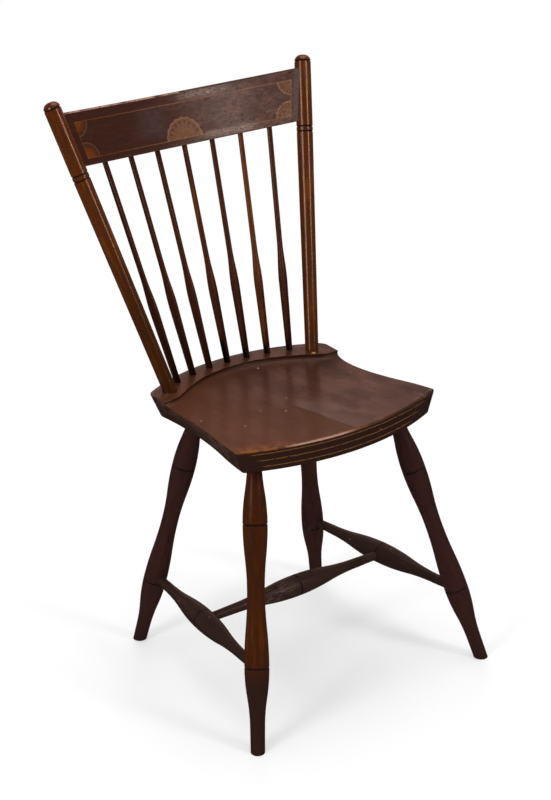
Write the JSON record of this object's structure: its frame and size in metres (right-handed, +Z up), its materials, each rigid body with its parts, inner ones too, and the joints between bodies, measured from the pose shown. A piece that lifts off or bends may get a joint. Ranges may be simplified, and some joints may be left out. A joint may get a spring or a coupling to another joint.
{
  "type": "windsor side chair",
  "caption": "Painted wooden side chair: saddled plank seat, splayed ringed legs with stretchers, and a raked back of turned posts, spindles and a bent crest rail.",
  "frame": {"origin": "on the floor, at the centre of the chair's bounding box seen from above", "axes": "+Z up, -Y towards the front of the seat, +X to the right of someone who faces the chair's front, which is the sitter's left"},
  "size_m": [0.474, 0.5039, 0.8607],
  "materials": {
    "seat_paint": "old worn satin paint and varnish",
    "leg_paint": "old worn satin paint and varnish",
    "stretcher_paint": "old worn satin paint and varnish",
    "post_paint": "old worn satin paint and varnish",
    "crest_paint": "old worn satin paint and varnish",
    "spindle_paint": "old worn satin paint and varnish",
    "bare_wood": "bare end grain"
  },
  "bodies": {
    "root": {"seat": "seat_paint", "leg_front_left": "leg_paint", "leg_front_right": "leg_paint", "leg_rear_left": "leg_paint", "leg_rear_right": "leg_paint", "side_stretcher_left": "stretcher_paint", "side_stretcher_right": "stretcher_paint", "middle_stretcher": "stretcher_paint", "back_post_left": "post_paint", "back_post_right": "post_paint", "crest_rail": "crest_paint", "crest_peg_left": "bare_wood", "crest_peg_right": "bare_wood", "post_wedge_left": "bare_wood", "post_wedge_right": "bare_wood", "spindle_1": "spindle_paint", "spindle_2": "spindle_paint", "spindle_3": "spindle_paint", "spindle_4": "spindle_paint", "spindle_5": "spindle_paint", "spindle_6": "spindle_paint", "spindle_7": "spindle_paint"}
  },
  "joints": []
}
